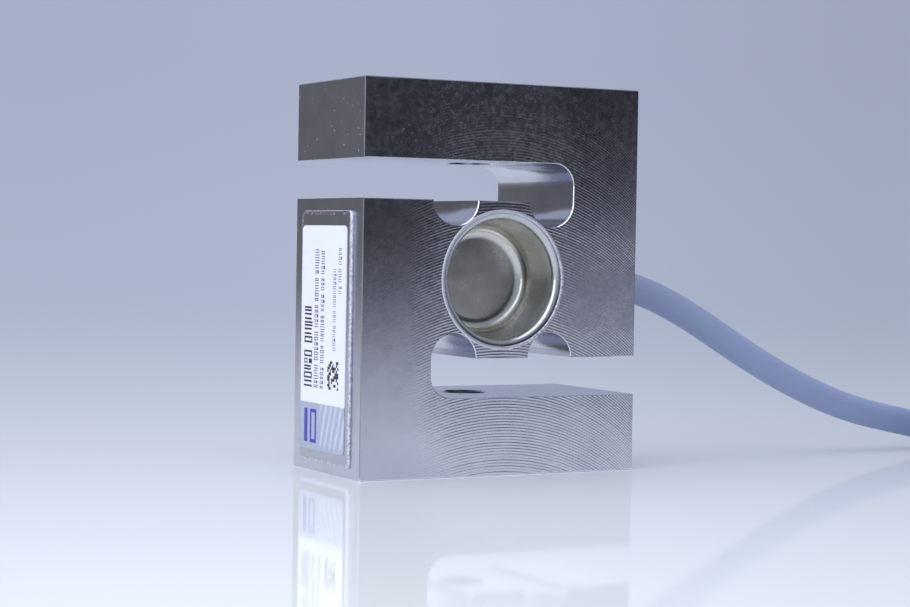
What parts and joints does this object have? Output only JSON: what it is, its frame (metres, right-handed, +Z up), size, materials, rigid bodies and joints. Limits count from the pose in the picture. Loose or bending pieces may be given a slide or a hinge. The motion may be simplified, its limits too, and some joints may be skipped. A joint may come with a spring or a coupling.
{
  "type": "strain gauge load cell",
  "caption": "S-shaped steel load cell: a slotted block with a gauge bore closed by welded cups, threaded holes in both legs, a side cover and a free cable.",
  "frame": {"origin": "centre of the block's foot, on the axis of the two threaded holes", "axes": "+Z up along the threaded holes; the gauge bore runs along Y and its front cup faces -Y; the label is on the -X face and the cable leaves the +X face"},
  "size_m": [0.1898, 0.0753, 0.0635],
  "materials": {
    "block_steel": "milled",
    "cup_steel": "drawn and polished",
    "weld_metal": "beaded",
    "plate_steel": "fine brushed",
    "label_film": "satin print",
    "pad_rubber": "matt",
    "circuit_board": "lacquered",
    "chip_ceramic": "matt",
    "gauge_film": "translucent film",
    "copper_wire": "bare",
    "gland_metal": "nickel plated",
    "seal_rubber": "matt",
    "cable_jacket": "matt, fine grain",
    "tie_plastic": "satin",
    "shrink_sleeve": "satin",
    "red_insulation": "satin",
    "black_insulation": "satin",
    "green_insulation": "satin",
    "white_insulation": "satin",
    "shield_insulation": "satin",
    "tinned_copper": "tinned"
  },
  "bodies": {
    "root": {"spring_body": "block_steel", "front_cup": "cup_steel", "rear_cup": "cup_steel", "front_cup_weld": "weld_metal", "rear_cup_weld": "weld_metal", "cover_plate": "plate_steel", "cover_weld": "weld_metal", "rating_label": "label_film", "board_pad": "pad_rubber", "compensation_board": "circuit_board", "zero_trim_resistor": "chip_ceramic", "zero_drift_resistor": "chip_ceramic", "span_trim_resistor": "chip_ceramic", "span_drift_resistor": "chip_ceramic", "input_trim_resistor": "chip_ceramic", "output_trim_resistor": "chip_ceramic", "gauge_upper_right": "gauge_film", "gauge_upper_left": "gauge_film", "gauge_lower_left": "gauge_film", "gauge_lower_right": "gauge_film", "upper_terminals": "gauge_film", "lower_terminals": "gauge_film", "bridge_wires": "copper_wire", "red_core": "red_insulation", "black_core": "black_insulation", "green_core": "green_insulation", "white_core": "white_insulation", "gland_bush": "gland_metal", "gland_washer": "gland_metal", "gland_seal": "seal_rubber", "crimp_sleeve": "gland_metal", "cable": "cable_jacket", "cable_coil": "cable_jacket", "coil_tie_1": "tie_plastic", "coil_tie_2": "tie_plastic", "cable_end_sleeve": "shrink_sleeve", "red_lead": "red_insulation", "black_lead": "black_insulation", "green_lead": "green_insulation", "white_lead": "white_insulation", "shield_lead": "shield_insulation", "red_ferrule": "tinned_copper", "black_ferrule": "tinned_copper", "green_ferrule": "tinned_copper", "white_ferrule": "tinned_copper", "shield_ferrule": "tinned_copper"}
  },
  "joints": []
}
